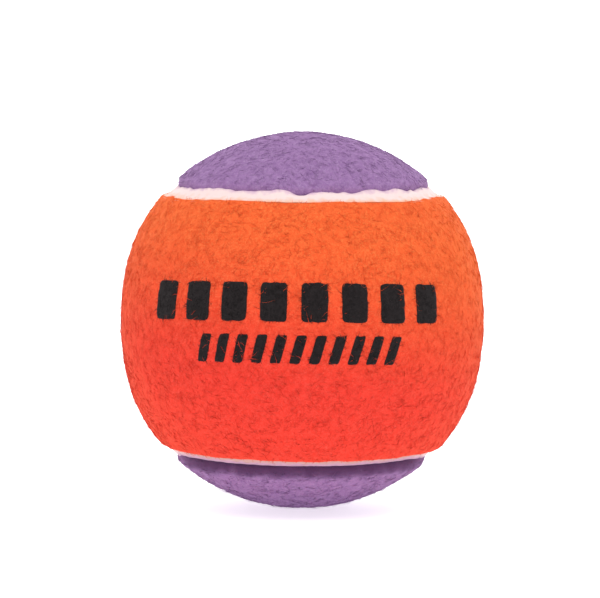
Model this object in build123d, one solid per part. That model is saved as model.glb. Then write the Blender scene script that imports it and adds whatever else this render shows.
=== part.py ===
"""A low-compression beach tennis ball, built the way the real one is built.

A hollow rubber core is cemented together from two moulded half shells. A coat of rubber cement covers
it, and two congruent felt panels, each shaped like a dog bone, wrap round it and lock into each other.
A strip of pale seam rubber fills the groove between their cut edges. Ink is printed into the nap of
one panel.

Frame: millimetres, +Z up, origin at the centre of the ball. The narrow middle of the orange panel
faces -Y and carries the print. In the front half (y < 0) the seam runs along two half circles of
constant z, and in the back half (y > 0) along two half circles of constant x. All four have the same
radius and meet with no kink in the plane y = 0, so the seam is one closed, smooth line.
"""

from build123d import *
from math import asin, cos, degrees, radians, sin
import os

# ---- Driving dimensions, in millimetres and degrees ---------------------------------------------

ball_diameter = 66.0  # over the nap
felt_thickness = 3.0  # backing cloth and nap together, at the middle of a panel
felt_lip_radius = 1.2  # rounding of the nap along a panel's cut edge
cement_coat_thickness = 0.15  # rubber cement between the core and the cloth
core_wall = 2.5  # moulded rubber half shell, thin for low compression
core_joint_thickness = 0.25  # cement between the rims of the half shells
core_bead_radius = 0.7  # cement squeezed out inside the core along the joint
seam_width = 2.2  # pale rubber between the cut edges, at the top of the rubber
seam_recess = 1.3  # from the nap down to the edges of the seam rubber
seam_sag = 0.15  # how far the middle of the seam rubber sinks below its edges
lip_share = 0.9  # most of the recess that the rounded lip may take up

ink_depth = 0.4  # how far the ink soaks into the nap
upper_row_count = 8
upper_row_latitude = 5.8
upper_row_turn = -2.5  # how far the row sits round the ball towards +X
upper_row_reach = 96.2  # angle round the ball from one end of the row to the other
upper_row_height = 6.6
upper_row_gap = 2.4
lower_row_count = 11
lower_row_latitude = -8.0
lower_row_turn = -1.1
lower_row_reach = 64.0
lower_row_height = 4.8
lower_row_gap = 1.5
lower_row_slant = 15.0  # lean of the lower row's dashes from upright
row_lean = 4.4  # both rows are raised in front by this much, as one pad prints them
row_tilt = 0.6  # both rows dip towards +X by this much
ink_corner_radius = 0.6

# ---- Sizes that follow from them ----------------------------------------------------------------

ball_radius = ball_diameter / 2
cloth_back_radius = ball_radius - felt_thickness
core_outer_radius = cloth_back_radius - cement_coat_thickness
core_inner_radius = core_outer_radius - core_wall
seam_edge_radius = ball_radius - seam_recess  # where the seam rubber meets the cloth
seam_half_angle = degrees(asin(seam_width / 2 / seam_edge_radius))
seam_centre_angle = 45.0  # both panels come from one die, so the seam halves the right angle
felt_lip = min(felt_lip_radius, lip_share * seam_recess)
cutter_overrun = 1.0  # how far a cutter reaches past what it cuts
on_surface = 1e-3  # a point this close to a surface counts as lying on it


def on_circle(radius, angle):
    """Point of the XZ plane at this radius and angle, counted from +X towards +Z."""
    return (radius * cos(radians(angle)), radius * sin(radians(angle)))


def ring_sector(inner, outer, low, high):
    """Face in the XZ plane between two radii and two angles."""
    outline = Curve() + [
        CenterArc((0, 0), outer, low, high - low),
        Line(on_circle(outer, high), on_circle(inner, high)),
        CenterArc((0, 0), inner, low, high - low),
        Line(on_circle(inner, low), on_circle(outer, low)),
    ]
    return Plane.XZ * make_face(outline)


def joined_round_the_ball(profile):
    """Sweeps a profile that is even about 45 degrees along the seam's four half circles."""
    front = revolve(profile, Axis((0, 0, 0), (0, 0, -1)), 180)  # from +X through -Y to -X
    back = revolve(profile, Axis((0, 0, 0), (-1, 0, 0)), 180)  # from +Z through +Y to -Z
    return front + front.rotate(Axis.Y, 180) + back + back.rotate(Axis.Y, 180)


# ---- Core ---------------------------------------------------------------------------------------


def core_half_upper():
    """Moulded half shell with a flat rim, half a joint above the middle plane."""
    shell = Sphere(core_outer_radius) - Sphere(core_inner_radius)
    upper_side = Pos(0, 0, core_joint_thickness / 2) * Box(
        ball_diameter, ball_diameter, ball_radius, align=(Align.CENTER, Align.CENTER, Align.MIN)
    )
    return shell & upper_side


def core_half_lower():
    """The other half shell, from the same mould."""
    return core_half_upper().rotate(Axis.X, 180)


def core_joint_cement():
    """Cement between the two rims, with the bead that it squeezes out inside."""
    half = core_joint_thickness / 2
    web = Plane.XZ * Pos((core_inner_radius + core_outer_radius) / 2, 0) * Rectangle(
        2 * core_wall, core_joint_thickness
    )
    ring = revolve(web, Axis.Z, 360) & Sphere(core_outer_radius)
    ring -= Cylinder(core_inner_radius - half, ball_diameter)
    bead_profile = Plane.XZ * Pos(core_inner_radius, 0) * Circle(core_bead_radius)
    bead = revolve(bead_profile, Axis.Z, 360) & Sphere(core_inner_radius)
    return ring + bead


def core_cement_coat():
    """Closed coat of rubber cement over the whole core."""
    return Sphere(cloth_back_radius) - Sphere(core_outer_radius)


# ---- Cover --------------------------------------------------------------------------------------


def groove_cutter():
    """One closed wedge along the whole seam, deeper than the cloth and taller than the nap."""
    profile = ring_sector(
        cloth_back_radius - cutter_overrun,
        ball_radius + cutter_overrun,
        seam_centre_angle - seam_half_angle,
        seam_centre_angle + seam_half_angle,
    )
    return joined_round_the_ball(profile)


def with_rounded_lip(panel):
    """Rounds the nap along the panel's cut edge, where a cone wall meets the outer sphere."""
    lip_edges = []
    for edge in panel.edges():
        on_nap = abs((edge @ 0.5).length - ball_radius) < on_surface
        kinds = {f.geom_type for f in panel.faces() if any(edge.is_same(e) for e in f.edges())}
        if on_nap and len(kinds) > 1:
            lip_edges.append(edge)
    return panel.fillet(felt_lip, lip_edges)


def felt_panels():
    """Orange and purple dog-bone panels: what the groove leaves of a hollow sphere."""
    whole_cover = Sphere(ball_radius) - Sphere(cloth_back_radius)
    panels = (whole_cover - groove_cutter()).solids()
    front_band, back_band = sorted(panels, key=lambda panel: panel.center().Y)
    return with_rounded_lip(front_band), with_rounded_lip(back_band)


def seam_profile():
    """Section of the seam rubber: wedge-shaped sides, a round base and a hollow top."""
    low = seam_centre_angle - seam_half_angle
    high = seam_centre_angle + seam_half_angle
    top_middle = on_circle(seam_edge_radius * cos(radians(seam_half_angle)) - seam_sag, seam_centre_angle)
    outline = Curve() + [
        ThreePointArc(on_circle(seam_edge_radius, low), top_middle, on_circle(seam_edge_radius, high)),
        Line(on_circle(seam_edge_radius, high), on_circle(cloth_back_radius, high)),
        CenterArc((0, 0), cloth_back_radius, low, high - low),
        Line(on_circle(cloth_back_radius, low), on_circle(seam_edge_radius, low)),
    ]
    return Plane.XZ * make_face(outline)


def seam_rubber():
    """One closed strip of rubber in the groove."""
    return joined_round_the_ball(seam_profile())


# ---- Print --------------------------------------------------------------------------------------


def dash_outline(width, height, slant):
    """Parallelogram of this width and height with rounded corners, leaning right by slant degrees."""
    lean = height / 2 * sin(radians(slant)) / cos(radians(slant))
    left, right, top = -width / 2, width / 2, height / 2
    corners = [(left - lean, -top), (right - lean, -top), (right + lean, top), (left + lean, top)]
    outline = make_face(Polyline(*corners, close=True))
    return fillet(outline.vertices(), min(ink_corner_radius, width / 3, height / 3))


def ink_row(count, latitude, turn, reach, height, gap, slant):
    """Pockets side by side round the front of the ball, open outwards and as deep as the ink."""
    row_radius = ball_radius * cos(radians(latitude))
    pitch = reach / count
    outline = dash_outline(radians(pitch) * row_radius - gap, height, slant)
    pockets = []
    for index in range(count):
        longitude = turn + (index - (count - 1) / 2) * pitch
        outward = Vector(0, -1, 0).rotate(Axis.X, -latitude).rotate(Axis.Z, longitude)
        sideways = Vector(1, 0, 0).rotate(Axis.Z, longitude)
        outward, sideways = (
            v.rotate(Axis.X, -row_lean).rotate(Axis.Y, row_tilt) for v in (outward, sideways)
        )
        surface = Plane(origin=outward * ball_radius, x_dir=sideways, z_dir=outward)
        column = extrude(surface * outline, felt_thickness / 2, both=True)
        pockets.append(column - Sphere(ball_radius - ink_depth))
    return pockets


def ink(pockets):
    """The inked nap that fills these pockets up to the ball's surface."""
    return Compound(children=[(pocket & Sphere(ball_radius)).solid() for pocket in pockets])


def upper_row():
    return ink_row(
        upper_row_count,
        upper_row_latitude,
        upper_row_turn,
        upper_row_reach,
        upper_row_height,
        upper_row_gap,
        0.0,
    )


def lower_row():
    return ink_row(
        lower_row_count,
        lower_row_latitude,
        lower_row_turn,
        lower_row_reach,
        lower_row_height,
        lower_row_gap,
        lower_row_slant,
    )


# ---- Export -------------------------------------------------------------------------------------


def build():
    """Every node of the ball by name."""
    upper_pockets, lower_pockets = upper_row(), lower_row()
    orange, purple = felt_panels()
    for pocket in upper_pockets + lower_pockets:
        orange -= pocket
    return {
        "core_half_upper": core_half_upper(),
        "core_half_lower": core_half_lower(),
        "core_joint_cement": core_joint_cement(),
        "core_cement_coat": core_cement_coat(),
        "orange_felt_panel": orange,
        "purple_felt_panel": purple,
        "seam_rubber": seam_rubber(),
        "print_upper_row": ink(upper_pockets),
        "print_lower_row": ink(lower_pockets),
    }


def main():
    os.makedirs("parts", exist_ok=True)
    for name, shape in build().items():
        export_step(shape, f"parts/{name}.step")


main()
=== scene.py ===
"""Looks of a two-tone beach tennis ball, built round its fixed CAD frame.

The ball is a moulded rubber core in a coat of cement, covered by two interlocked dog-bone panels of
needled felt. Pale rubber fills the seam between them, and two rows of dashes are printed in the nap.
All sizes are in metres, in the frame's own axes: +Z up, the printed waist of the orange panel at -Y.
"""

import bpy
import numpy as np
from bpy.props import FloatProperty, FloatVectorProperty, IntProperty, PointerProperty
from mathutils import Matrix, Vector


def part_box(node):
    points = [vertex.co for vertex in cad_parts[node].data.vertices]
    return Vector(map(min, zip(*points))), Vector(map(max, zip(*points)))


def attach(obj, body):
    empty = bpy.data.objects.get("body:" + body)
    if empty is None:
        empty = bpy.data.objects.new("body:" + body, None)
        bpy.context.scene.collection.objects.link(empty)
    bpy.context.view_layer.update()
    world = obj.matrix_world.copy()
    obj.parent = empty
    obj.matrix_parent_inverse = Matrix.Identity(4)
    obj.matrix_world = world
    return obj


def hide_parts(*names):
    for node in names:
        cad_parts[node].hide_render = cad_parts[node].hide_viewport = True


bl_info = {
    "name": "Beach Tennis Ball",
    "version": (1, 0, 0),
    "blender": (4, 5, 0),
    "location": "3D View > Sidebar > Ball",
    "description": "Felt panels, nap, seam rubber, print and core of a two-tone beach tennis ball",
    "category": "Add Mesh",
}

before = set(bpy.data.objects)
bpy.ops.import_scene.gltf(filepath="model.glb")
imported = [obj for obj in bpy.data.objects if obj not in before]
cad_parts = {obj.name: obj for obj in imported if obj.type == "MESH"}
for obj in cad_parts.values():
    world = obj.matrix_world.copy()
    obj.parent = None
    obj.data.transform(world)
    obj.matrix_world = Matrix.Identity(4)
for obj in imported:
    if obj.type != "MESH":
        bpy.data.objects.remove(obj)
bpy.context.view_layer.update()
BALL_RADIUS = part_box("purple_felt_panel")[1].z
CLOTH_BACK_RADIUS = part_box("core_cement_coat")[1].z
MM = 0.001
TAU = 2 * np.pi


def linear(hex_colour):
    """sRGB hex value to linear red, green and blue."""
    parts = np.array([int(hex_colour[i : i + 2], 16) for i in (1, 3, 5)]) / 255
    return np.where(parts <= 0.04045, parts / 12.92, ((parts + 0.055) / 1.055) ** 2.4).tolist()


# ---- Settings a user would change ---------------------------------------------------------------


def length(name, description, millimetres):
    return FloatProperty(name=name, description=description, default=millimetres * MM, unit="LENGTH")


def angle(name, description, degrees):
    return FloatProperty(
        name=name, description=description, default=np.radians(degrees), subtype="ANGLE"
    )


def colour(name, description, hex_colour):
    return FloatVectorProperty(
        name=name,
        description=description,
        default=linear(hex_colour),
        subtype="COLOR",
        size=3,
        min=0,
        max=1,
    )


def count(name, description, default):
    return IntProperty(name=name, description=description, default=default, min=1)


class BallFelt(bpy.types.PropertyGroup):
    """Felt panels and their nap."""

    seam_gap: length("Seam gap", "Between the cut edges of the panels", 2.2)
    orange_lip: length("Orange lip", "Rounding of the nap along the orange panel's edge", 1.17)
    purple_lip: length("Purple lip", "Rounding of the nap along the purple panel's edge", 1.8)
    lip_waver: length("Lip waver", "How far a cut edge strays from its line", 0.22)
    press_depth: length("Pressed depth", "How far the two ends across the ball are pressed in", 1.25)
    press_spread: angle("Pressed spread", "Angle round each end over which that fades", 24)
    swell: length("Swell", "Slow unevenness of the cover", 0.10)
    clump: length("Clump", "Height of the tufts that the needles leave", 0.08)
    grain: length("Grain", "Height of the small tangles on the tufts", 0.04)
    retreat: length("Retreat", "How far the purple edge draws back low in front", 0.6)
    # painted shade: width of the darkened purple nap beside the low front seam, for the shadow under the
    # orange lip
    crease_shade_width: length("Matted width", "Dull nap beside the low front seam", 3.0)
    rows: count("Rows round the waist", "Mesh rows from one side of the waist to the other", 224)
    end_rows: count("Rows in an end", "Mesh rows in each round end", 56)
    columns: count("Columns", "Mesh columns across a panel", 112)
    fibres: count("Fibres", "Loose fibres on each panel", 19000)
    fibre_length: length("Fibre length", "Usual length of a loose fibre", 1.3)
    fibre_width: length("Fibre width", "Width of a fibre bundle at its root", 0.075)
    fibre_rise: length("Fibre rise", "Usual height of a fibre's arch over the nap", 0.10)


class BallSeam(bpy.types.PropertyGroup):
    """Seam rubber."""

    recess: length("Recess", "From the nap down to the middle of the rubber", 0.9)
    orange_climb: length("Climb on orange", "How far the rubber laps up the orange lip", 0.26)
    purple_climb: length("Climb on purple", "How far the rubber laps up the purple lip", 0.28)
    corner_lap: length("Corner lap", "How much further it laps up the orange at the top corners", 0.85)
    climb_waver: length("Climb waver", "How much the lap varies along the seam", 0.24)
    sinking: length("Sinking", "How much deeper the rubber lies low in front", 0.7)
    low_lap: length("Low lap", "How far the rubber reaches into the crevice low in front", 0.25)
    steps: count("Steps", "Mesh steps along the whole seam", 1400)


class BallPrint(bpy.types.PropertyGroup):
    """Rows of printed dashes."""

    upper_count: count("Upper dashes", "Dashes in the upper row", 8)
    lean: angle("Lean", "How much both rows are raised in front", 4.4)
    tilt: angle("Tilt", "How much both rows dip towards +X", 0.6)
    upper_latitude: angle("Upper latitude", "Height of the upper row round the ball", 5.8)
    upper_turn: angle("Upper turn", "How far the upper row sits round the ball towards +X", -2.5)
    upper_reach: angle("Upper reach", "From one end of the upper row to the other", 96.2)
    upper_height: length("Upper height", "Height of an upper dash", 6.6)
    upper_gap: length("Upper gap", "Between upper dashes", 2.4)
    lower_count: count("Lower dashes", "Dashes in the lower row", 11)
    lower_latitude: angle("Lower latitude", "Height of the lower row round the ball", -8)
    lower_turn: angle("Lower turn", "How far the lower row sits round the ball towards +X", -1.1)
    lower_reach: angle("Lower reach", "From one end of the lower row to the other", 64)
    lower_height: length("Lower height", "Height of a lower dash", 4.8)
    lower_gap: length("Lower gap", "Between lower dashes", 1.5)
    lower_slant: angle("Lower slant", "Lean of the lower dashes", 15)


class BallColours(bpy.types.PropertyGroup):
    """Dyes, rubbers and ink."""

    orange: colour("Orange felt", "Main dye of the orange panel", "#DE572A")
    orange_light: colour("Orange tips", "Nap tips of the orange panel", "#E88E4E")
    orange_deep: colour("Orange depths", "Between the tufts of the orange panel", "#C6421D")
    # painted light and shade: each low tint darkens and reddens the lower side of its panel, and the
    # upper side keeps the lighter main dye, for light falling from above
    orange_low_shade_tint: colour("Orange low tint", "What the unfaded dye keeps of each primary", "#F6A0FF")
    purple_low_shade_tint: colour("Purple low tint", "What the unfaded dye keeps of each primary", "#FFFAFD")
    purple: colour("Purple felt", "Main dye of the purple panel", "#8C6897")
    purple_light: colour("Purple tips", "Nap tips of the purple panel", "#AC94B6")
    purple_deep: colour("Purple depths", "Between the tufts of the purple panel", "#704C7D")
    seam: colour("Seam rubber", "Pale rubber of the seam", "#DEC8C6")
    # painted shade: darker colour of the sunk stretch low in front, for the shade under the orange lip
    seam_low_shade: colour("Low seam", "Rubber of the sunk stretch, grubby from handling", "#B8918C")
    seam_orange: colour("Seam by orange", "Rubber stained by orange fibres", "#E9A27C")
    seam_purple: colour("Seam by purple", "Rubber stained by purple fibres", "#BC97B4")
    ink: colour("Ink", "Black print", "#1C1819")
    core: colour("Core rubber", "Moulded core", "#2B2928")
    cement: colour("Rubber cement", "Dried cement", "#BFA782")


# ---- Shapes -------------------------------------------------------------------------------------

CUBE_PRIMES = np.array([73856093, 19349663, 83492791])  # one to each axis of a lattice
SEED_PRIME = 2654435761
SCRAMBLES = ((13, 1274126177), (16, 2246822519))  # shift and multiplier of each round
LAST_SHIFT = 15
WORD, HALF_WORD = 0xFFFFFFFF, 0xFFFF

# Cell and seed of the noise behind each unevenness.
SWELL = (7 * MM, 1)
CLUMP = (1.5 * MM, 2)
GRAIN = (0.75 * MM, 3)
LIP_LINE = (3 * MM, 5)
CREASE_SHADE_LINE = (1.5 * MM, 6)
INK_LINE = (0.9 * MM, 11)
RUBBER_LUMPS = (1.2 * MM, 40)
LAP_WAVES = ((1.0, 4 * MM, 20), (0.8, 1.5 * MM, 30))  # share, cell and seed of each

# Where a stretch of the seam begins and where it is full, in ball radii from the centre.
BELOW = (-0.2, 0.5)
BEFORE = (0.0, 0.4)
CORNER_ASIDE = (0.25, 0.6)
CORNER_ABOVE = (0.3, 0.6)


def lattice_noise(points, cell, seed):
    """Smooth noise from -1 to 1.

    Random values at the corners of cubes of this size are blended across each cube by the curve
    t t t (10 - 15 t + 6 t t) along each axis.
    """
    place = points / cell
    corner = np.floor(place).astype(np.int64)
    across = place - corner
    across = across**3 * (across * (across * 6 - 15) + 10)
    total = np.zeros(points.shape[:-1])
    for step in np.ndindex(2, 2, 2):
        mixed = (corner + step) @ CUBE_PRIMES + seed * SEED_PRIME
        for shift, multiplier in SCRAMBLES:
            mixed = (mixed ^ (mixed >> shift)) * multiplier & WORD
        value = ((mixed ^ (mixed >> LAST_SHIFT)) & HALF_WORD) / (HALF_WORD / 2) - 1
        total += value * np.prod(np.where(np.array(step) == 1, across, 1 - across), axis=-1)
    return total


def smooth_step(value, low, high):
    """0 below low, 1 above high, and the cubic 3 t t - 2 t t t between."""
    t = np.clip((value - low) / (high - low), 0, 1)
    return t * t * (3 - 2 * t)


def unit(vectors):
    return vectors / np.linalg.norm(vectors, axis=-1, keepdims=True)


def direction(turn, flat, height):
    """Vector turned this far from -Y towards +X, with this length along the XY plane and this height."""
    return np.stack([flat * np.sin(turn), -flat * np.cos(turn), height], -1)


def seam_angle(way):
    """Angle from the seam's middle line, positive on the orange side.

    It is 45 degrees less the latitude in the front half, and 45 degrees less the angle from the X
    axis in the back half.
    """
    front = np.arcsin(np.abs(way[..., 2]).clip(0, 1))
    back = np.arccos(np.abs(way[..., 0]).clip(0, 1))
    return np.pi / 4 - np.where(way[..., 1] < 0, front, back)


def away_from_orange(way):
    """Unit direction along the ball from the orange panel towards the seam.

    It runs up or down a meridian of Z in the front half, and away from the X axis in the back half.
    """
    pole = np.zeros_like(way)
    front = way[..., 1] < 0
    pole[..., 2] = np.where(front, np.sign(way[..., 2]), 0)
    pole[..., 0] = np.where(front, 0, -np.sign(way[..., 0]))
    return unit(pole - way * (way * pole).sum(-1, keepdims=True))


def shifted(way, towards, distance):
    """Directions moved this far along the ball: a great circle turned by distance over radius."""
    turn = (distance / BALL_RADIUS)[..., None]
    return way * np.cos(turn) + towards * np.sin(turn)


def nap_radius(way, felt):
    """Radius of the nap: the ball's, less two pressed ends, plus noise of three sizes.

    A pressed end fades as a bell curve of the angle from the X axis.
    """
    from_end = np.arccos(np.abs(way[..., 0]).clip(0, 1))
    pressed = felt.press_depth * np.exp(-((from_end / felt.press_spread) ** 2))
    spot = way * BALL_RADIUS
    relief = felt.swell * (lattice_noise(spot, *SWELL) - 1)
    relief += felt.clump * (lattice_noise(spot, *CLUMP) - 1)
    relief += felt.grain * lattice_noise(spot, *GRAIN)
    return BALL_RADIUS - pressed + relief


def low_front(way):
    """1 on the low front stretch of the seam, fading to 0 above and behind it."""
    return smooth_step(-way[..., 2], *BELOW) * smooth_step(-way[..., 1], *BEFORE)


CREASE_SHADE_STRAY = 0.6 * MM  # how far the inner border of the painted shade wanders
CREASE_SHADE_THROUGH = 0.2  # share of the painted shade's width before it starts to fade


def painted_crease_shade(way, felt):
    """How much painted shade darkens the nap, from 0 to 1, for the shadow in the crease under the orange
    lip.

    It lies along the purple side of the low front seam, and fades with the distance from the cut
    edge up to a border that wavers.
    """
    inside = from_edge(way, felt) + CREASE_SHADE_STRAY * lattice_noise(way * BALL_RADIUS, *CREASE_SHADE_LINE)
    near = 1 - smooth_step(inside, CREASE_SHADE_THROUGH * felt.crease_shade_width, felt.crease_shade_width)
    return low_front(way) * near * (seam_angle(way) < 0)


def from_edge(way, felt):
    """Distance along the ball from a panel's cut edge."""
    return np.abs(seam_angle(way)) * BALL_RADIUS - felt.seam_gap / 2


def lip_drop(way, inside, felt):
    """How far the lip lies under the nap: a quarter circle over the first lip radius from the edge."""
    lip = np.where(seam_angle(way) > 0, felt.orange_lip, felt.purple_lip)
    short = 1 - np.clip(inside / lip, 0, 1)
    return lip * (1 - np.sqrt(1 - short**2))


def cover_radius(way, felt):
    """Radius of the cloth: the nap's, less the drop of the lip."""
    return nap_radius(way, felt) - lip_drop(way, from_edge(way, felt), felt)


def to_purple(vectors):
    """Half a turn about the line midway between +X and +Z, which carries orange onto purple."""
    return vectors[..., [2, 1, 0]] * np.array([1, -1, 1])


def panel_grid(half_angle, felt):
    """Directions over the orange panel.

    The waist is a grid of longitude and latitude. Each round end is a half disc round the X axis,
    made from a rectangle by the map (u sqrt(1 - v v / 2), v sqrt(1 - u u / 2)).
    """
    v = np.linspace(-1, 1, felt.columns)[None]
    longitude = np.linspace(-np.pi / 2, np.pi / 2, felt.rows)[:, None]
    latitude = v * half_angle + 0 * longitude
    waist = direction(longitude, np.cos(latitude), np.sin(latitude))
    u = np.linspace(0, 1, felt.end_rows + 1)[1:, None]
    back, up = u * np.sqrt(1 - v**2 / 2), v * np.sqrt(1 - u**2 / 2)
    polar, azimuth = half_angle * np.hypot(back, up), np.arctan2(back, up)
    aside = np.sin(polar)
    end = np.stack([np.cos(polar), aside * np.sin(azimuth), aside * np.cos(azimuth)], -1)
    return np.concatenate([end[::-1] * [-1, 1, 1], waist, end])


def grid_quads(rows, columns, first=0):
    """Quads of a grid whose vertices are numbered row by row."""
    index = first + np.arange(rows * columns).reshape(rows, columns)
    quads = np.stack([index[:-1, :-1], index[1:, :-1], index[1:, 1:], index[:-1, 1:]], -1)
    return quads.reshape(-1, 4)


def rim_of(rows, columns):
    """Numbers of a grid's outer vertices, once round."""
    index = np.arange(rows * columns).reshape(rows, columns)
    return np.concatenate([index[:-1, 0], index[-1, :-1], index[:0:-1, -1], index[0, :0:-1]])


def band_quads(one, other):
    """Quads between two closed rings of vertex numbers."""
    return np.stack([one, other, np.roll(other, -1), np.roll(one, -1)], -1)


def made_piece(name, points, *face_blocks, chart_uv=None, **point_values):
    """Object at the origin with these vertices and faces, shaded smooth."""
    mesh = bpy.data.meshes.new(name)
    corners = np.concatenate([block.ravel() for block in face_blocks]).astype(np.int32)
    sides = np.concatenate([np.full(len(block), block.shape[1]) for block in face_blocks])
    mesh.vertices.add(len(points))
    mesh.vertices.foreach_set("co", np.asarray(points, np.float32).ravel())
    mesh.loops.add(len(corners))
    mesh.loops.foreach_set("vertex_index", corners)
    mesh.polygons.add(len(sides))
    mesh.polygons.foreach_set("loop_start", (np.cumsum(sides) - sides).astype(np.int32))
    mesh.update(calc_edges=True)
    mesh.shade_smooth()
    if chart_uv is not None:
        layer = mesh.uv_layers.new(name="OFBake")
        layer.uv.foreach_set("vector", np.asarray(chart_uv, np.float32)[corners].ravel())
    for key, values in point_values.items():
        attribute = mesh.attributes.new(key, "FLOAT", "POINT")
        attribute.data.foreach_set("value", values.astype(np.float32))
    piece = bpy.data.objects.new(name, mesh)
    bpy.context.scene.collection.objects.link(piece)
    return piece


LIP_RINGS = 7  # rings of mesh down the rounded lip
WALL_RINGS = (0.35, 0.7)  # rings of mesh down the cut wall, as shares of its height


def felt_panel(name, felt, turned):
    """Closed cloth: a nap grid, rings down the rounded lip and the cut wall, and a grid on the core.

    The lip is a quarter circle, whose reach along the ball wavers with noise.
    """
    lip = felt.purple_lip if turned else felt.orange_lip
    half_gap = felt.seam_gap / 2
    nap = panel_grid(np.pi / 4 - (half_gap + lip) / BALL_RADIUS, felt)
    back = panel_grid(np.pi / 4 - half_gap / BALL_RADIUS, felt)
    rows, columns = nap.shape[:2]
    rim = rim_of(rows, columns)
    edge = nap.reshape(-1, 3)[rim]
    outward = away_from_orange(edge)
    place = to_purple if turned else np.array
    waver = felt.lip_waver * lattice_noise(place(edge) * BALL_RADIUS, *LIP_LINE)
    if turned:
        waver = waver - felt.retreat * low_front(place(edge))
    points = [(place(nap) * nap_radius(place(nap), felt)[..., None]).reshape(-1, 3)]
    rings = [rim]
    for turn in np.linspace(0, np.pi / 2, LIP_RINGS + 1)[1:]:
        way = place(shifted(edge, outward, (lip + waver) * np.sin(turn)))
        radius = nap_radius(way, felt) - lip * (1 - np.cos(turn))
        rings.append(len(rim) * (len(rings) - 1) + rows * columns + np.arange(len(rim)))
        points.append(way * radius[:, None])
    cut, foot = points[-1], place(back.reshape(-1, 3)[rim] * CLOTH_BACK_RADIUS)
    for depth in WALL_RINGS:
        rings.append(rings[-1] + len(rim))
        points.append(cut * (1 - depth) + foot * depth)
    first = rings[-1][-1] + 1
    points.append(place(back).reshape(-1, 3) * CLOTH_BACK_RADIUS)
    rings.append(first + rim)
    walls = [band_quads(one, other) for one, other in zip(rings, rings[1:])]
    faces = [grid_quads(rows, columns), *walls, grid_quads(rows, columns, first)[:, ::-1]]
    points = np.concatenate(points)
    return made_piece(name, points, np.concatenate(faces), matted=painted_crease_shade(unit(points), felt))


def tangents(way):
    """Two unit directions along the ball at each point, square to each other."""
    near_pole = 0.9
    pole = np.where(np.abs(way[:, 2:]) < near_pole, [[0, 0, 1.0]], [[1.0, 0, 0]])
    side = unit(np.cross(way, pole))
    return side, np.cross(way, side)


FIBRE_POINTS = 7  # two rings of three points and a tip
FIBRE_RINGS = ((0.0, 1.0), (0.5, 0.8))  # place along a fibre, and share of its width there
ARCH_FROM, ARCH_SPAN = 0.1, 0.75  # part of a half wave that a fibre's arch follows
SWIRL_CELL = 4 * MM  # fibres closer together than this head much the same way
SWIRL_SPREAD = 0.45  # how far one fibre turns from that, in half turns
CURL_SPREAD = 0.3  # how far a fibre's tip bends aside, as a share of its length


def fibres(way, root_radius, length, rise, width, seed):
    """Thin closed blades, one to a root.

    Each runs from its root along the ball in its own heading and bends aside by the square of the
    distance. It arches up and comes down again as part of a sine wave. Its section has three sides
    and narrows to a point.
    """
    rng = np.random.default_rng(seed)
    side, up = tangents(way)
    swirl = lattice_noise(way * BALL_RADIUS, SWIRL_CELL, seed)
    swirl = np.pi * (swirl + rng.normal(0, SWIRL_SPREAD, len(way)))
    heading = side * np.cos(swirl)[:, None] + up * np.sin(swirl)[:, None]
    bend = np.cross(way, heading)
    curl = rng.normal(0, CURL_SPREAD, len(way))

    def middle(t):
        along = heading * (length * t)[:, None] + bend * (length * curl * t * t)[:, None]
        lift = root_radius + rise * np.sin(np.pi * (ARCH_FROM + ARCH_SPAN * t))
        return way * lift[:, None] + along

    rings = []
    for t, share in FIBRE_RINGS:
        for turn in (0, TAU / 3, 2 * TAU / 3):
            offset = bend * np.cos(turn) + way * np.sin(turn)
            rings.append(middle(t) + offset * (width * share / 2)[:, None])
    rings.append(middle(1.0))
    points = np.stack(rings, 1).reshape(-1, 3)
    first = FIBRE_POINTS * np.arange(len(way))[:, None, None]
    quads = first + np.array([[0, 1, 4, 3], [1, 2, 5, 4], [2, 0, 3, 5]])
    tips = first + np.array([[3, 4, 6], [4, 5, 6], [5, 3, 6], [0, 2, 1]])
    return points, quads.reshape(-1, 4), tips.reshape(-1, 3)


CHART_TURN = 0.96  # width on the chart of a whole turn of longitude
CHART_HALF_TURN = 1.8  # height on the chart of half a turn of latitude, of which a panel takes half


def chart(points, roots, turned):
    """Flat place of each fibre point: longitude and latitude in the panel's own frame.

    The longitude is taken near the fibre's root, so that no fibre crosses the chart.
    """
    place = to_purple if turned else np.array
    own, root = place(unit(points)), np.repeat(place(roots), FIBRE_POINTS, axis=0)
    middle = np.arctan2(root[:, 0], -root[:, 1])
    turn = np.arctan2(own[:, 0], -own[:, 1]) - middle
    longitude = middle + (turn + np.pi) % TAU - np.pi
    latitude = np.arcsin(own[:, 2].clip(-1, 1))
    across, up = longitude / TAU * CHART_TURN, latitude / np.pi * CHART_HALF_TURN
    return np.stack([0.5 + across, 0.5 + up], -1)


def scattered(number, seed):
    """Evenly likely directions all round the ball."""
    rng = np.random.default_rng(seed)
    height, turn = rng.uniform(-1, 1, number), rng.uniform(-np.pi, np.pi, number)
    return direction(turn, np.sqrt(1 - height**2), height)


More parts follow.
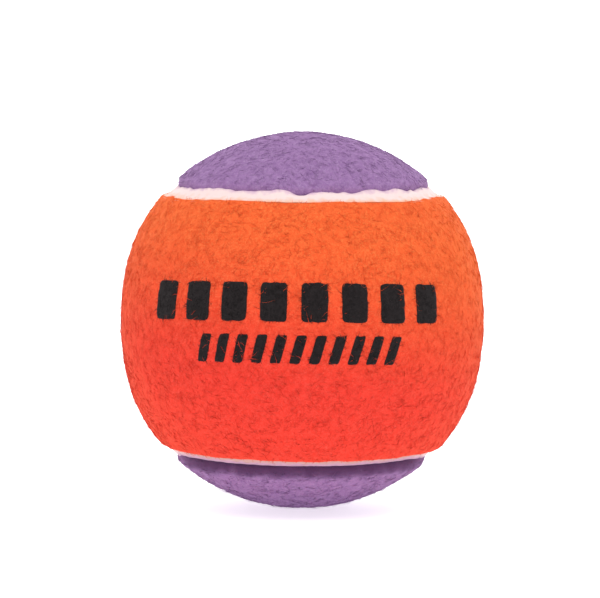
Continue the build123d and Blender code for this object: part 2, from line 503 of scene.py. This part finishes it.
class Dashes:
    """One row of printed parallelograms, set side by side round the front of the ball."""

    def __init__(self, number, latitude, row_turn, reach, height, gap, slant, lean, tilt):
        pitch = reach / number
        self.width = pitch * BALL_RADIUS * np.cos(latitude) - gap
        self.height, self.slope = height, np.tan(slant)
        turn = row_turn + (np.arange(number) - (number - 1) / 2) * pitch
        outward = direction(turn, np.cos(latitude), np.full(number, np.sin(latitude)))
        side = np.stack([np.cos(turn), np.sin(turn), 0 * turn], -1)
        c, s = np.cos(lean), np.sin(lean)
        raised = np.array([[1, 0, 0], [0, c, -s], [0, s, c]])
        c, s = np.cos(tilt), np.sin(tilt)
        dipped = np.array([[c, 0, -s], [0, 1, 0], [s, 0, c]])
        self.outward, self.side = outward @ raised @ dipped, side @ raised @ dipped
        self.up = np.cross(self.outward, self.side)

    def margin(self, way):
        """Distance inside the nearest dash's outline, negative outside all of them."""
        spot = way * BALL_RADIUS
        x, y = spot @ self.side.T, spot @ self.up.T
        from_sides = self.width / 2 - np.abs(x - y * self.slope)
        inside = np.minimum(from_sides, self.height / 2 - np.abs(y))
        facing = way @ self.outward.T > 0
        return np.where(facing, inside, -1.0).max(-1)


ROW_SIZES = ("count", "latitude", "turn", "reach", "height", "gap")


def rows_of(prints):
    """The upper row, whose dashes stand upright, and the lower row, whose dashes slant."""
    rows = []
    for row, slant in (("upper", 0.0), ("lower", prints.lower_slant)):
        sizes = [getattr(prints, f"{row}_{size}") for size in ROW_SIZES]
        rows.append(Dashes(*sizes, slant, prints.lean, prints.tilt))
    return rows


INK_COLUMNS, INK_ROWS = 21, 31  # mesh points across and up one dash
INK_CORNER = 8  # power of the superellipse that rounds a dash
INK_STRAY = 0.035  # how far a dash's outer edge wavers, as a share of its size
INK_RISE, INK_SINK = 0.07 * MM, 0.3 * MM  # how far the ink stands over and soaks into the nap
TINY = 1e-9


def ink_patches(dashes, felt):
    """Closed thin patches over the nap, one to a dash.

    Each is a grid pressed onto a superellipse, the curve where the powers of |u| and |v| add up to
    1, with an outer edge that wavers as ink does in nap.
    """
    columns, rows = INK_COLUMNS, INK_ROWS
    u, v = np.meshgrid(np.linspace(-1, 1, columns), np.linspace(-1, 1, rows), indexing="ij")
    reach = np.maximum(np.abs(u), np.abs(v))
    curve = (np.abs(u) ** INK_CORNER + np.abs(v) ** INK_CORNER) ** (1 / INK_CORNER)
    round_off = np.where(reach > 0, reach / np.maximum(curve, TINY), 1)
    points, faces, first = [], [], 0
    grid, rim = grid_quads(columns, rows), rim_of(columns, rows)
    for outward, side, up in zip(dashes.outward, dashes.side, dashes.up):
        y = v * round_off * dashes.height / 2
        x = u * round_off * dashes.width / 2 + y * dashes.slope
        rough = side * x[..., None] + up * y[..., None] + outward * BALL_RADIUS
        stray = 1 + INK_STRAY * reach * lattice_noise(rough, *INK_LINE)
        x, y = x * stray, y * stray
        high = np.sqrt(BALL_RADIUS**2 - x**2 - y**2)
        way = unit(side * x[..., None] + up * y[..., None] + outward * high[..., None]).reshape(-1, 3)
        radius = cover_radius(way, felt)[:, None]
        points += [way * (radius + INK_RISE), way * (radius - INK_SINK)]
        below = first + rows * columns
        faces += [grid + first, grid[:, ::-1] + below, band_quads(rim + first, rim + below)]
        first = below + rows * columns
    return np.concatenate(points), np.concatenate(faces)


def seam_loop(steps):
    """Directions along the seam's middle line: four half circles, each a quarter of the steps."""
    quarter = steps // 4
    t = np.arange(quarter) / quarter
    high = np.full(quarter, np.sqrt(0.5))
    top = direction((t - 0.5) * np.pi, high, high)
    right = np.stack([high, high * np.sin(np.pi * t), high * np.cos(np.pi * t)], -1)
    return np.concatenate([top, right, top * [-1, 1, -1], right * [-1, 1, -1]])


LAP_RANGE = (0.02 * MM, 0.9 * MM)  # least and most that the wavering lap may be


def seam_laps(middle, seam):
    """How far the rubber laps up the orange and the purple lip at each step along the seam.

    Each is its climb plus noise. The orange lap is wider at the top corners, and the purple one is
    drawn to its own low value low in front.
    """
    laps = []
    for side, climb in ((-1, seam.orange_climb), (1, seam.purple_climb)):
        spot = middle * BALL_RADIUS
        waver = sum(share * lattice_noise(spot, cell, seed + side) for share, cell, seed in LAP_WAVES)
        laps.append(np.clip(climb + seam.climb_waver * waver, *LAP_RANGE))
    aside = smooth_step(np.abs(middle[:, 0]), *CORNER_ASIDE)
    laps[0] += seam.corner_lap * aside * smooth_step(middle[:, 2], *CORNER_ABOVE)
    laps[1] += (seam.low_lap - laps[1]) * low_front(middle)
    return laps


STRIP_COLUMNS = 23  # mesh points across the top of the strip
FILM = 0.05 * MM  # how far lapped rubber stands over the lip
RIM_DIVE, RIM_CURVE = 4, 6  # films by which its rim dives into the nap, and the power of that curve
LUMP_HEIGHT = 0.05 * MM
WALL_TOP = 2.2 * MM  # how far under the ball's surface the strip's plain sides begin
FOOT_SHARE = 0.97  # of the gap between the panels
SUNK_STAIN_AND_SHADE = 0.5  # how much further the fibres' stains reach on sunk rubber: real stain, spread further as painted shade of the sunk stretch


def seam_strip(felt, seam):
    """Closed strip with one section all along: a hollow top that laps up both lips, and a plain foot.

    The top is a parabola between the edges of the laps, and over each lip it lies on the nap. Low in
    front the rubber is sunk and shrinks back from the purple cloth, which leaves a crevice. The
    function also gives each point's place across the strip, from -1 on the orange side to 1, and how
    sunk it is.
    """
    middle = seam_loop(seam.steps)
    across = away_from_orange(middle)
    half = felt.seam_gap / 2
    sunk = low_front(middle)
    laps = seam_laps(middle, seam)
    rings, places = [], np.linspace(-1, 1, STRIP_COLUMNS)
    for w in places:
        lap, purple = laps[int(w > 0)], w > 0
        reach = w * (half + lap)
        way = shifted(middle, across, reach)
        inside = np.abs(reach) - half
        film = nap_radius(way, felt) - lip_drop(way, np.maximum(inside, 0), felt)
        film += FILM * (1 - np.abs(w) ** RIM_CURVE * RIM_DIVE)
        rim = shifted(middle, across, np.sign(w) * (half + lap))
        contact = nap_radius(rim, felt) - lip_drop(rim, lap, felt)
        hollow = BALL_RADIUS - seam.recess - seam.sinking * sunk
        hollow += (contact - hollow) * w**2 * (1 - sunk * purple)
        hollow += LUMP_HEIGHT * lattice_noise(way * BALL_RADIUS, *RUBBER_LUMPS)
        lapped = np.maximum(hollow, film)
        lapped += (np.minimum(hollow, film) - lapped) * sunk * purple
        radius = np.where(inside > 0, lapped, hollow)
        rings.append(way * radius[:, None])
    foot_reach = half * FOOT_SHARE * np.ones(len(middle))
    for reach, radius in (
        (foot_reach, BALL_RADIUS - WALL_TOP),
        (foot_reach, CLOTH_BACK_RADIUS),
        (-foot_reach, CLOTH_BACK_RADIUS),
        (-foot_reach, BALL_RADIUS - WALL_TOP),
    ):
        rings.append(shifted(middle, across, reach) * radius)
    numbers = [np.arange(len(middle)) + len(middle) * k for k in range(len(rings))]
    bands = zip(numbers, numbers[1:] + numbers[:1])
    faces = [band_quads(one, other)[:, ::-1] for one, other in bands]
    width_place = np.concatenate([places, [1, 1, -1, -1]])[:, None] * (1 + SUNK_STAIN_AND_SHADE * sunk)
    return np.concatenate(rings), np.concatenate(faces), width_place.ravel(), np.tile(sunk, len(rings))


# ---- Materials ----------------------------------------------------------------------------------


def add(tree, kind, sockets=(), **settings):
    """Adds a node, sets its properties, and gives each named socket a value or another node's output."""
    made = tree.nodes.new(kind)
    for key, value in settings.items():
        setattr(made, key, value)
    for name, value in dict(sockets).items():
        if isinstance(value, bpy.types.NodeSocket):
            tree.links.new(value, made.inputs[name])
        else:
            made.inputs[name].default_value = value
    return made


def new_material(name):
    """Empty material, its node tree, and the Object coordinates that its patterns read."""
    material = bpy.data.materials.new(name)
    material.use_nodes = True
    tree = material.node_tree
    tree.nodes.clear()
    return material, tree, add(tree, "ShaderNodeTexCoord").outputs["Object"]


def finished(tree, shader_sockets):
    """Ends a tree with the Principled shader, given these sockets, and the output."""
    shader = add(tree, "ShaderNodeBsdfPrincipled", shader_sockets)
    add(tree, "ShaderNodeOutputMaterial", {"Surface": shader.outputs["BSDF"]})


def opaque(rgb):
    return (*rgb, 1.0)


def mix_colours(tree, factor, first, second, blend="MIX"):
    """Output of a colour mix from the first to the second."""
    made = tree.nodes.new("ShaderNodeMix")
    made.data_type, made.blend_type = "RGBA", blend
    sockets = {s.identifier: s for s in made.inputs}
    for key, value in (("Factor_Float", factor), ("A_Color", first), ("B_Color", second)):
        if isinstance(value, bpy.types.NodeSocket):
            tree.links.new(value, sockets[key])
        else:
            sockets[key].default_value = value
    return next(s for s in made.outputs if s.identifier == "Result_Color")


PAINTED_LIGHT_ABOVE, PAINTED_SHADE_BELOW = 20 * MM, -10 * MM  # heights between which painted light on the upper side turns to painted shade on the lower side
LIGHT_AND_SHADE_LEAN = 0.16  # rise of those heights towards -X, as a slope
PAINTED_CREASE_SHADE = 0.6  # of the depths' colour, painted as shade on the nap beside the low front seam


def needled_felt(name, main, light, deep, sheen_tint, low_shade_tint=(1, 1, 1)):
    """Wool and nylon felt, needled and then tumbled until its nap stands up.

    Light catches the fibre tips as a painted highlight, and the gaps between tufts are darkened partly
    as painted shade and partly by tone that differs at random, both on the noise of the bump; nothing
    shines.
    Single fibres are some 0.03 mm wide in the real cloth, which is too fine to show, so they are drawn
    as strands. The upper side is left lighter and yellower as painted light from above, and the lower
    side takes its low tint as painted shade.
    """
    tuft, strand, patch = 1.3 * MM, 0.35 * MM, 9 * MM
    material, tree, place = new_material(name)
    tufts = add(
        tree,
        "ShaderNodeTexNoise",
        {"Vector": place, "Scale": 1 / tuft, "Detail": 3.0, "Roughness": 0.6, "Distortion": 0.6},
    )
    strands = add(
        tree,
        "ShaderNodeTexNoise",
        {"Vector": place, "Scale": 1 / strand, "Detail": 2.0, "Roughness": 0.7, "Distortion": 1.5},
    )
    patches = add(tree, "ShaderNodeTexNoise", {"Vector": place, "Scale": 1 / patch, "Detail": 2.0})
    # partly tone that differs at random, partly painted shade: the depths' colour lies where the bump is
    # low
    tuft_tone = add(
        tree,
        "ShaderNodeMapRange",
        {"Value": tufts.outputs["Fac"], "From Min": 0.25, "From Max": 0.65},
    )
    body = mix_colours(tree, tuft_tone.outputs["Result"], opaque(deep), opaque(main))
    # painted highlight: the tips' colour lies where the strands raise the bump
    tip_tone = add(
        tree,
        "ShaderNodeMapRange",
        {"Value": strands.outputs["Fac"], "From Min": 0.45, "From Max": 0.8, "To Max": 0.7},
    )
    tipped = mix_colours(tree, tip_tone.outputs["Result"], body, opaque(light))
    patch_tone = add(
        tree,
        "ShaderNodeMapRange",
        {"Value": patches.outputs["Fac"], "From Min": 0.3, "From Max": 0.7, "To Max": 0.3},
    )
    dyed = mix_colours(tree, patch_tone.outputs["Result"], tipped, opaque(main))
    # painted light and shade: below the leaning heights the low tint is multiplied in, darker and redder
    # there
    where = add(tree, "ShaderNodeSeparateXYZ", {"Vector": place})
    leaning = add(
        tree,
        "ShaderNodeMath",
        {0: where.outputs["X"], 1: LIGHT_AND_SHADE_LEAN, 2: where.outputs["Z"]},
        operation="MULTIPLY_ADD",
    )
    shaded = add(
        tree,
        "ShaderNodeMapRange",
        {"Value": leaning.outputs["Value"], "From Min": PAINTED_LIGHT_ABOVE, "From Max": PAINTED_SHADE_BELOW},
        interpolation_type="SMOOTHSTEP",
    )
    dyed = mix_colours(tree, shaded.outputs["Result"], dyed, opaque(low_shade_tint), "MULTIPLY")
    # painted shade: the purple nap beside the low front seam is darkened towards the depths' colour
    matted = add(tree, "ShaderNodeAttribute", attribute_name="matted").outputs["Fac"]
    dyed = mix_colours(tree, matted, dyed, opaque([PAINTED_CREASE_SHADE * part for part in deep]))
    height = add(
        tree,
        "ShaderNodeMath",
        {0: tufts.outputs["Fac"], 1: strands.outputs["Fac"]},
        operation="ADD",
    )
    bump = add(
        tree,
        "ShaderNodeBump",
        {"Height": height.outputs["Value"], "Strength": 0.5, "Distance": 0.12 * MM},
    )
    finished(
        tree,
        {
            "Base Color": dyed,
            "Roughness": 0.95,
            "Specular IOR Level": 0.1,
            "Sheen Weight": 0.25,
            "Sheen Roughness": 0.6,
            "Sheen Tint": opaque(sheen_tint),
            "Normal": bump.outputs["Normal"],
        },
    )
    return material


def seam_rubber(colours):
    """Pale natural rubber, squeezed into the seam and moulded with the ball.

    It is dull and a little lumpy. Loose dyed fibres stick to it along both edges and stain them. A
    stain begins and is full at two places across the strip, which stray with the lumps. The sunk
    stretch low in front is darkened as painted shade, for the shade under the orange lip.
    """
    lump, stray = 1.4 * MM, 0.35
    material, tree, place = new_material("seam rubber, squeezed in and moulded")
    lumps = add(tree, "ShaderNodeTexNoise", {"Vector": place, "Scale": 1 / lump, "Detail": 3.0})
    across = add(tree, "ShaderNodeAttribute", attribute_name="across").outputs["Fac"]
    wander = add(
        tree,
        "ShaderNodeMapRange",
        {
            "Value": lumps.outputs["Fac"],
            "From Min": 0.3,
            "From Max": 0.7,
            "To Min": -stray,
            "To Max": stray,
        },
    )
    edge = add(tree, "ShaderNodeMath", {0: across, 1: wander.outputs["Result"]}, operation="ADD")
    sunk = add(tree, "ShaderNodeAttribute", attribute_name="sunk").outputs["Fac"]
    # painted shade: the sunk stretch is mixed towards the darker low colour
    shade = mix_colours(tree, sunk, opaque(colours.seam), opaque(colours.seam_low_shade))
    for stain, begins, full in ((colours.seam_orange, -0.1, -1.15), (colours.seam_purple, 0.45, 1.2)):
        share = add(
            tree,
            "ShaderNodeMapRange",
            {"Value": edge.outputs["Value"], "From Min": begins, "From Max": full, "To Max": 0.9},
        )
        shade = mix_colours(tree, share.outputs["Result"], shade, opaque(stain))
    bump = add(
        tree,
        "ShaderNodeBump",
        {"Height": lumps.outputs["Fac"], "Strength": 0.5, "Distance": 0.15 * MM},
    )
    finished(
        tree,
        {"Base Color": shade, "Roughness": 0.8, "IOR": 1.52, "Normal": bump.outputs["Normal"]},
    )
    return material


def moulded_rubber(name, main, other, grain, roughness, bump_depth):
    """Rubber, moulded or brushed on: dull, faintly mottled, with a soft grain and finer pits in it."""
    pits_to_a_grain, uneven = 3, 0.1
    material, tree, place = new_material(name)
    mottle = add(
        tree,
        "ShaderNodeTexNoise",
        {"Vector": place, "Scale": 1 / grain, "Detail": 3.0, "Roughness": 0.55},
    )
    pits = add(
        tree, "ShaderNodeTexNoise", {"Vector": place, "Scale": pits_to_a_grain / grain, "Detail": 2.0}
    )
    tone = add(
        tree,
        "ShaderNodeMapRange",
        {"Value": mottle.outputs["Fac"], "From Min": 0.35, "From Max": 0.65},
    )
    rough = add(
        tree,
        "ShaderNodeMapRange",
        {"Value": pits.outputs["Fac"], "To Min": roughness - uneven, "To Max": roughness + uneven},
    )
    bump = add(
        tree,
        "ShaderNodeBump",
        {"Height": pits.outputs["Fac"], "Strength": 0.5, "Distance": bump_depth},
    )
    finished(
        tree,
        {
            "Base Color": mix_colours(tree, tone.outputs["Result"], opaque(main), opaque(other)),
            "Roughness": rough.outputs["Result"],
            "IOR": 1.52,
            "Normal": bump.outputs["Normal"],
        },
    )
    return material


# ---- Operators ----------------------------------------------------------------------------------

NAP_SEED, ORANGE_NAP_SEED, PURPLE_NAP_SEED = 7, 50, 51
INK_SEED, INK_SIZE_SEED, INK_HEADING_SEED = 9, 80, 81
SPARE_ROOTS = 2.2  # places tried for each fibre of one panel, as they fall on either panel or neither
INK_ROOTS = 160000  # places tried all round the ball for the inked fibres
NAP_CLEAR, INK_CLEAR = 0.1 * MM, 0.15 * MM  # how far fibres keep from a cut edge and a dash's outline
ROOT_DEPTH = 0.08 * MM  # of a nap fibre's root
FIBRE_WIDTHS = (0.7, 1.2)  # least and most, as factors of the usual width
SHORTEST_BY_EDGE = 0.35  # of a fibre's length, left at a cut edge
INK_LENGTH, INK_ARCH = 0.6, 0.8  # of an inked fibre, as shares of a nap fibre's


class BALL_OT_felt(bpy.types.Operator):
    """Make both felt panels, each a closed cloth with rounded lips"""

    bl_idname = "ball.felt"
    bl_label = "Felt Panels"

    def execute(self, context):
        scene = context.scene
        felt, colours = scene.ball_felt, scene.ball_colours
        for name, turned in (("orange", False), ("purple", True)):
            panel = felt_panel(f"{name}_felt_cloth", felt, turned)
            light = getattr(colours, f"{name}_light")
            panel.data.materials.append(
                needled_felt(
                    f"needled felt, {name} dye",
                    main=getattr(colours, name),
                    light=light,
                    deep=getattr(colours, f"{name}_deep"),
                    sheen_tint=light,
                    low_shade_tint=getattr(colours, f"{name}_low_shade_tint"),
                )
            )
            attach(panel, "root")
            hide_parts(f"{name}_felt_panel")
        return {"FINISHED"}


class BALL_OT_nap(bpy.types.Operator):
    """Grow the loose fibres of both panels, clear of the printed dashes"""

    bl_idname = "ball.nap"
    bl_label = "Nap Fibres"

    def execute(self, context):
        scene = context.scene
        felt, prints = scene.ball_felt, scene.ball_print
        ways = scattered(int(felt.fibres * SPARE_ROOTS), NAP_SEED)
        depth = from_edge(ways, felt)
        orange = seam_angle(ways) > 0
        printed = np.maximum(*(row.margin(ways) for row in rows_of(prints)))
        for name, chosen, seed, turned in (
            ("orange", orange & (printed < NAP_CLEAR), ORANGE_NAP_SEED, False),
            ("purple", ~orange, PURPLE_NAP_SEED, True),
        ):
            roots = ways[chosen & (depth > NAP_CLEAR)][: felt.fibres]
            piece = fibre_piece(f"{name}_nap_fibres", roots, felt, seed, turned)
            piece.data.materials.append(bpy.data.materials[f"needled felt, {name} dye"])
            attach(piece, "root")
        return {"FINISHED"}


def spread(rng, number, width, least=0.0, most=np.inf):
    """Factors round 1, spread as a logarithmic bell curve of this width, between two limits."""
    return rng.lognormal(0, width, number).clip(least, most)


def fibre_piece(name, roots, felt, seed, turned):
    """Loose fibres at these roots, most lying down and a few standing off the ball.

    They grow shorter towards a cut edge, from two lip radii away.
    """
    rng = np.random.default_rng(seed)
    number = len(roots)
    long = felt.fibre_length * spread(rng, number, 0.35, least=0.4, most=2.2)
    rise = felt.fibre_rise * spread(rng, number, 0.6, least=0.2, most=3.5)
    width = felt.fibre_width * rng.uniform(*FIBRE_WIDTHS, number)
    near_edge = np.clip(from_edge(roots, felt) / (2 * felt.orange_lip), SHORTEST_BY_EDGE, 1)
    radius = cover_radius(roots, felt) - ROOT_DEPTH
    points, quads, tips = fibres(roots, radius, long * near_edge, rise, width, seed)
    # painted shade of the low front crease, carried onto the fibres
    matted = np.repeat(painted_crease_shade(roots, felt), FIBRE_POINTS)
    chart_uv = chart(points, roots, turned)
    return made_piece(name, points, quads, tips, chart_uv=chart_uv, matted=matted)


def ink_fibres(roots, felt):
    """Short inked fibres at these roots."""
    rng = np.random.default_rng(INK_SIZE_SEED)
    number = len(roots)
    long = INK_LENGTH * felt.fibre_length * spread(rng, number, 0.3)
    rise = INK_ARCH * felt.fibre_rise * spread(rng, number, 0.5, least=0.2, most=3)
    width = felt.fibre_width * rng.uniform(*FIBRE_WIDTHS, number)
    return fibres(roots, cover_radius(roots, felt), long, rise, width, INK_HEADING_SEED)


class BALL_OT_seam(bpy.types.Operator):
    """Make the closed strip of pale seam rubber"""

    bl_idname = "ball.seam"
    bl_label = "Seam Rubber"

    def execute(self, context):
        scene = context.scene
        points, faces, across, sunk = seam_strip(scene.ball_felt, scene.ball_seam)
        strip = made_piece("seam_rubber_strip", points, faces, across=across, sunk=sunk)
        strip.data.materials.append(seam_rubber(scene.ball_colours))
        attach(strip, "root")
        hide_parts("seam_rubber")
        return {"FINISHED"}


class BALL_OT_print(bpy.types.Operator):
    """Print both rows of dashes into the nap"""

    bl_idname = "ball.print"
    bl_label = "Printed Dashes"

    def execute(self, context):
        scene = context.scene
        felt = scene.ball_felt
        black = np.array(scene.ball_colours.ink)
        ink = needled_felt(
            "printing ink on felt nap",
            main=black,
            light=black * 2.2,
            deep=black * 0.6,
            sheen_tint=(0.2, 0.18, 0.18),
        )
        ways = scattered(INK_ROOTS, INK_SEED)
        for name, row in zip(("upper", "lower"), rows_of(scene.ball_print)):
            patches, faces = ink_patches(row, felt)
            blades, quads, tips = ink_fibres(ways[row.margin(ways) > INK_CLEAR], felt)
            points, first = np.concatenate([patches, blades]), len(patches)
            piece = made_piece(f"{name}_row_ink", points, faces, quads + first, tips + first)
            piece.data.materials.append(ink)
            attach(piece, "root")
            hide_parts(f"print_{name}_row")
        return {"FINISHED"}


class BALL_OT_core(bpy.types.Operator):
    """Give the core and its cement their finishes"""

    bl_idname = "ball.core"
    bl_label = "Core and Cement"

    def execute(self, context):
        colours = context.scene.ball_colours
        dark, dried = np.array(colours.core), np.array(colours.cement)
        rubber = moulded_rubber(
            "natural rubber, compression moulded",
            main=dark,
            other=dark * 1.5,
            grain=2.5 * MM,
            roughness=0.8,
            bump_depth=0.05 * MM,
        )
        cement = moulded_rubber(
            "rubber cement, brushed and dried",
            main=dried,
            other=dried * 0.8,
            grain=4 * MM,
            roughness=0.5,
            bump_depth=0.1 * MM,
        )
        for node, material in (
            ("core_half_upper", rubber),
            ("core_half_lower", rubber),
            ("core_joint_cement", cement),
            ("core_cement_coat", cement),
        ):
            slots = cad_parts[node].data.materials
            slots.clear()
            slots.append(material)
        return {"FINISHED"}


def light_table():
    """Floor that bends up into a backdrop: flat, a quarter circle, and flat again."""
    front, bend_from, bend_radius, top, half_width = -4.0, 1.2, 1.0, 4.0, 6.0
    turn = np.linspace(0, np.pi / 2, 13)
    bend = [bend_from + bend_radius * np.sin(turn), bend_radius * (1 - np.cos(turn))]
    ends = np.array([[front, 0], [bend_from + bend_radius, top]])
    sweep = np.concatenate([ends[:1], np.stack(bend, -1), ends[1:]])
    points = np.array([[x, y, z - BALL_RADIUS] for y, z in sweep for x in (-half_width, half_width)])
    return made_piece("floor", points, grid_quads(len(sweep), 2)[:, ::-1])


def matt_acrylic():
    """Matt acrylic sheet, lit from below: white all over, with a grain too faint to notice."""
    grains_per_metre = 300.0
    sheet, tree, place = new_material("matt acrylic light table")
    grain = add(
        tree, "ShaderNodeTexNoise", {"Vector": place, "Scale": grains_per_metre, "Detail": 2.0}
    )
    white, greyer = opaque(linear("#FCFCFC")), opaque(linear("#FAFAFA"))
    finished(
        tree,
        {
            "Base Color": mix_colours(tree, grain.outputs["Fac"], white, greyer),
            "Roughness": 0.9,
            "Emission Color": opaque([1, 1, 1]),
            "Emission Strength": 0.63,
        },
    )
    return sheet


def soft_light(name, place, aim, size, power):
    """Rectangular lamp that the camera does not see."""
    light = bpy.data.lights.new(name, "AREA")
    light.shape, light.energy = "RECTANGLE", power
    light.size, light.size_y = size
    lamp = bpy.data.objects.new(name, light)
    lamp.location = place
    lamp.rotation_euler = (Vector(aim) - Vector(place)).to_track_quat("-Z", "Y").to_euler()
    lamp.visible_camera = False
    bpy.context.scene.collection.objects.link(lamp)


def long_lens_camera():
    """Camera a little above the ball's middle, looking slightly down and turned by a hair."""
    camera = bpy.data.objects.new("camera", bpy.data.cameras.new("camera"))
    camera.data.sensor_width, camera.data.lens = 36.0, 226.5
    camera.data.clip_start, camera.data.clip_end = 0.01, 50.0
    pitch, roll, away = np.radians(4.9), np.radians(0.4), 20 * BALL_RADIUS
    aim = Vector((-0.4 * MM, 0, 3.6 * MM))
    back = Vector((0, -np.cos(pitch), np.sin(pitch)))
    camera.location = aim + back * away
    camera.rotation_euler = (-back).to_track_quat("-Z", "Y").to_euler()
    camera.rotation_euler.rotate_axis("Z", roll)
    bpy.context.scene.collection.objects.link(camera)
    return camera


class BALL_OT_stage(bpy.types.Operator):
    """Set the pale floor, the soft lights and the camera"""

    bl_idname = "ball.stage"
    bl_label = "Studio"

    def execute(self, context):
        scene = context.scene
        floor = light_table()
        floor.data.materials.append(matt_acrylic())
        world = bpy.data.worlds.new("soft studio")
        scene.world = world
        world.use_nodes = True
        background = world.node_tree.nodes["Background"]
        background.inputs["Color"].default_value = (1, 1, 1, 1)
        background.inputs["Strength"].default_value = 0.45
        soft_light("key", place=(0.02, -0.35, 0.9), aim=(0, 0, 0), size=(0.9, 0.9), power=9.7)
        soft_light(
            "backdrop wash", place=(0, 0.9, 0.9), aim=(0, 2.2, 0.3), size=(1.5, 0.3), power=26.0
        )
        scene.camera = long_lens_camera()
        scene.view_settings.view_transform = "Standard"
        return {"FINISHED"}


class BALL_PT_sidebar(bpy.types.Panel):
    """Sizes, colours and build steps of the ball"""

    bl_label = "Beach Tennis Ball"
    bl_idname = "BALL_PT_sidebar"
    bl_space_type = "VIEW_3D"
    bl_region_type = "UI"
    bl_category = "Ball"

    def draw(self, context):
        for group in (
            context.scene.ball_felt,
            context.scene.ball_seam,
            context.scene.ball_print,
            context.scene.ball_colours,
        ):
            box = self.layout.box()
            for name in group.__annotations__:
                box.prop(group, name)
        for operator in OPERATORS:
            self.layout.operator(operator.bl_idname)


GROUPS = {
    "ball_felt": BallFelt,
    "ball_seam": BallSeam,
    "ball_print": BallPrint,
    "ball_colours": BallColours,
}
OPERATORS = (BALL_OT_felt, BALL_OT_nap, BALL_OT_seam, BALL_OT_print, BALL_OT_core, BALL_OT_stage)


def register():
    for cls in (*GROUPS.values(), *OPERATORS, BALL_PT_sidebar):
        bpy.utils.register_class(cls)
    for name, group in GROUPS.items():
        setattr(bpy.types.Scene, name, PointerProperty(type=group))


def unregister():
    for name in GROUPS:
        delattr(bpy.types.Scene, name)
    for cls in reversed((*GROUPS.values(), *OPERATORS, BALL_PT_sidebar)):
        bpy.utils.unregister_class(cls)


def main():
    register()
    bpy.ops.ball.felt()
    bpy.ops.ball.nap()
    bpy.ops.ball.seam()
    bpy.ops.ball.print()
    bpy.ops.ball.core()
    bpy.ops.ball.stage()
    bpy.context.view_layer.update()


if __name__ == "__main__":
    main()
